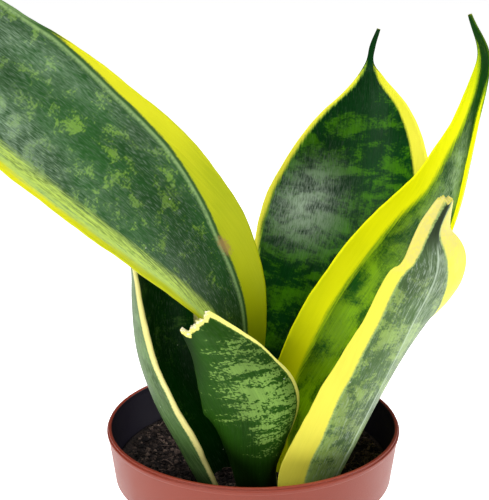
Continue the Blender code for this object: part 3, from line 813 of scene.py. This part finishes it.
def makeMixTree(material, crumbMaterial):
    lengths = ("Top", "Lump", "Lump Size", "Reach", "Crumb Small", "Crumb Big", "Clod Small", "Clod Big")
    inputs = [("Plug", "NodeSocketGeometry", None)]
    inputs += [(name, "NodeSocketFloat", mm) for name in lengths]
    inputs += [(name, "NodeSocketFloat", 1.0) for name in ("Crumbs", "Clods", "Fibres")]
    inputs += [("Seed", "NodeSocketInt", 1)]
    tree, given, result = newGroup(
        "strewnMix", "GeometryNodeTree", inputs, [("Mix", "NodeSocketGeometry")])

    def compare(operation, a, b):
        node = put(tree, "FunctionNodeCompare", {0: a, 1: b}, data_type="FLOAT", operation=operation)
        return node.outputs[0]

    place = put(tree, "GeometryNodeInputPosition").outputs[0]
    height = split(place)[2]
    level = vectorMath("MULTIPLY", place, (1, 1, 0))
    radius = put(tree, "ShaderNodeVectorMath", {0: level}, operation="LENGTH").outputs["Value"]
    onTop = compare("GREATER_EQUAL", height, given["Top"])
    lumps = noise(place, over(1.0, given["Lump Size"]), 5.0, 0.62)
    inner = fade(radius, plus(given["Reach"], 0.0016), given["Reach"], 0.15, 1.0)
    rise = times(times(minus(lumps, 0.52), given["Lump"]), inner)
    lift = put(tree, "ShaderNodeCombineXYZ", {2: rise}).outputs[0]
    feeds = {"Geometry": given["Plug"], "Selection": onTop, "Offset": lift}
    ground = put(tree, "GeometryNodeSetPosition", feeds).outputs[0]
    ground = put(tree, "GeometryNodeSetShadeSmooth", {"Geometry": ground}).outputs[0]
    coated = put(tree, "GeometryNodeSetMaterial", {"Geometry": ground, "Material": material}).outputs[0]
    withinReach = compare("LESS_THAN", radius, given["Reach"])
    strewArea = put(tree, "FunctionNodeBooleanMath", {0: onTop, 1: withinReach}, operation="AND").outputs[0]

    def randomValue(low, high, offset):
        feeds = {2: low, 3: high, "Seed": plus(given["Seed"], offset)}
        return put(tree, "FunctionNodeRandomValue", feeds, data_type="FLOAT").outputs[1]

    def randomVector(low, high, offset):
        feeds = {0: low, 1: high, "Seed": plus(given["Seed"], offset)}
        return put(tree, "FunctionNodeRandomValue", feeds, data_type="FLOAT_VECTOR").outputs[0]

    def strew(shape, density, low, high, offset, maxTurn):
        feeds = {
            "Mesh": ground, "Selection": strewArea, "Density": density, "Seed": plus(given["Seed"], offset)}
        points = put(tree, "GeometryNodeDistributePointsOnFaces", feeds).outputs["Points"]
        turn = randomVector((0.0, 0.0, 0.0), maxTurn, offset + 1)
        uneven = randomVector((0.6, 0.6, 0.6), (1.15, 1.15, 1.15), offset + 2)
        size = scaled(uneven, randomValue(low, high, offset + 3))
        feeds = {"Points": points, "Instance": shape, "Rotation": turn, "Scale": size}
        strewn = put(tree, "GeometryNodeInstanceOnPoints", feeds).outputs[0]
        feeds = {"Geometry": strewn, "Name": "crumbTone", "Value": randomValue(0.0, 1.0, offset + 4)}
        named = put(tree, "GeometryNodeStoreNamedAttribute", feeds, data_type="FLOAT", domain="INSTANCE")
        return named.outputs[0]

    def rough(subdivisions, amount):
        feeds = {"Radius": 1.0, "Subdivisions": subdivisions}
        ball = put(tree, "GeometryNodeMeshIcoSphere", feeds).outputs[0]
        bend = put(tree, "ShaderNodeTexNoise", {"Vector": place, "Scale": 1.1, "Detail": 2.0})
        push = scaled(vectorMath("SUBTRACT", bend.outputs["Color"], (0.5, 0.5, 0.5)), amount)
        return put(tree, "GeometryNodeSetPosition", {"Geometry": ball, "Offset": push}).outputs[0]

    anyTurn = (6.28, 6.28, 6.28)
    lying = (0.5, 0.5, 6.28)
    clodSizes = (given["Clod Small"], given["Clod Big"])
    crumbs = strew(rough(1, 1.6), given["Crumbs"], given["Crumb Small"], given["Crumb Big"], 10, anyTurn)
    clods = strew(rough(2, 1.9), given["Clods"], *clodSizes, 20, anyTurn)
    feeds = {"Resolution": 5, "Start": (-2.2, 0.0, 0.0), "Middle": (0.0, 1.3, 0.6), "End": (2.2, 0.0, 0.1)}
    bow = put(tree, "GeometryNodeCurveQuadraticBezier", feeds).outputs[0]
    section = put(tree, "GeometryNodeCurvePrimitiveCircle", {"Resolution": 4, "Radius": 0.12}).outputs[0]
    feeds = {"Curve": bow, "Profile Curve": section, "Fill Caps": True}
    strand = put(tree, "GeometryNodeCurveToMesh", feeds).outputs[0]
    fibres = strew(strand, given["Fibres"], *clodSizes, 30, lying)
    join = tree.nodes.new("GeometryNodeJoinGeometry")
    for part in (crumbs, clods, fibres):
        tree.links.new(part, join.inputs[0])
    real = put(tree, "GeometryNodeRealizeInstances", {"Geometry": join.outputs[0]}).outputs[0]
    loose = put(tree, "GeometryNodeSetMaterial", {"Geometry": real, "Material": crumbMaterial}).outputs[0]
    both = tree.nodes.new("GeometryNodeJoinGeometry")
    tree.links.new(loose, both.inputs[0])
    tree.links.new(coated, both.inputs[0])
    tree.links.new(both.outputs[0], result["Mix"])
    return tree


def makeMixMaterial(p, name, loose):
    material, tree, shader = newMaterial(name, 0.95, 0.2)
    grit = placeGrain(tree, 1500.0, 260.0, 0.5)
    tone = fade(grit["Tone"], 0.38, 0.66)
    color = blend(tone, tint(p["dark"]), tint(p["brown"]))
    if loose:
        own = put(tree, "ShaderNodeAttribute", attribute_name="crumbTone").outputs["Fac"]
        color = blend(fade(own, 0.55, 1.0, 0.0, 0.75), color, tint(p["light"]))
        color = blend(fade(own, 0.45, 0.0, 0.0, 0.8), color, tint(p["dark"]))
    tree.links.new(color, shader.inputs["Base Color"])
    tree.links.new(fade(grit["Tone"], 0.3, 0.7, 0.98, 0.8), shader.inputs["Roughness"])
    raiseBumps(shader, grit["Height"], 0.8, 0.0006)
    return material


def buildMix(p):
    host = addObject("pottingMix", mixSurface(p))
    tree = makeMixTree(makeMixMaterial(p, "dampMix", False), makeMixMaterial(p, "looseCrumb", True))
    perSquareMetre = 1e6
    runTree(host, tree, {
        "Top": (p["top"] - 0.1) * mm, "Lump": p["lump"] * mm, "Lump Size": p["lumpSize"] * mm,
        "Reach": p["crumbReach"] * mm, "Seed": p["seed"],
        "Crumb Small": p["crumbSize"][0] * mm, "Crumb Big": p["crumbSize"][1] * mm,
        "Clod Small": p["clodSize"][0] * mm, "Clod Big": p["clodSize"][1] * mm,
        "Crumbs": p["crumbs"] * perSquareMetre, "Clods": p["clods"] * perSquareMetre,
        "Fibres": p["fibres"] * perSquareMetre})
    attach(host, "root")
    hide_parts("potting_mix")
    return host


pottingMix = buildMix(mix)
print("mix:", len(pottingMix.data.polygons), "faces")


# rhizome: the thick root that the leaves grow from, as packed, with a fleshy skin
rhizomeSkin = {"flesh": (196, 150, 92), "scar": (112, 74, 44)}


def dressRhizome(p):
    material, tree, shader = newMaterial("rhizomeFlesh", 0.6, 0.5)
    skin = placeGrain(tree, 900.0, 140.0, 0.4)
    color = blend(fade(skin["Tone"], 0.45, 0.65), tint(p["flesh"]), tint(p["scar"]))
    tree.links.new(color, shader.inputs["Base Color"])
    tree.links.new(fade(skin["Tone"], 0.3, 0.7, 0.5, 0.75), shader.inputs["Roughness"])
    raiseBumps(shader, skin["Height"], 0.4, 0.0005)
    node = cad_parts["rhizome"]
    node.data.materials.clear()
    node.data.materials.append(material)


dressRhizome(rhizomeSkin)


# studio: white paper floor, a big soft box above and a little in front, a window light in front on the left,
# and a soft box on the right
studio = {
    "cameraPlace": (-0.0031, -0.3919, 0.2694), "lookDown": 16.4, "lens": 85.0,
    "floorSize": 12.0, "floorGlow": 0.85, "room": 0.12, "aim": (0, 0, 0.12),
    "lights": [
        ("window", (-0.9, -0.9, 0.62), 0.5, 9.0), ("softBoxRight", (1.2, -0.1, 0.6), 0.6, 10.0),
        ("softBoxTop", (-0.2, -0.2, 1.5), 1.0, 19.0)],
}


def setStudio(s):
    cameraData = bpy.data.cameras.new("camera")
    cameraData.lens = s["lens"]
    camera = addObject("camera", cameraData)
    camera.location = s["cameraPlace"]
    camera.rotation_euler = (math.radians(90 - s["lookDown"]), 0, 0)
    scene.camera = camera

    world = bpy.data.worlds.new("room")
    world.use_nodes = True
    background = world.node_tree.nodes["Background"]
    background.inputs["Color"].default_value = (1, 1, 1, 1)
    background.inputs["Strength"].default_value = s["room"]
    scene.world = world

    half = s["floorSize"] / 2
    mesh = bpy.data.meshes.new("paperFloor")
    corners = [(-half, -half, 0), (half, -half, 0), (half, half, 0), (-half, half, 0)]
    mesh.from_pydata(corners, [], [(0, 1, 2, 3)])
    material, tree, shader = newMaterial("whitePaper", 0.9, 0.1)
    shader.inputs["Base Color"].default_value = (0.9, 0.9, 0.9, 1)
    shader.inputs["Emission Color"].default_value = (1, 1, 1, 1)
    shader.inputs["Emission Strength"].default_value = s["floorGlow"]
    mesh.materials.append(material)
    floor = addObject("paperFloor", mesh)

    for name, place, size, power in s["lights"]:
        data = bpy.data.lights.new(name, "AREA")
        data.size = size
        data.energy = power
        lamp = addObject(name, data)
        lamp.location = place
        lamp.rotation_euler = (Vector(s["aim"]) - Vector(place)).to_track_quat("-Z", "Y").to_euler()
    scene.view_settings.view_transform = "Standard"


setStudio(studio)
print("studio set")
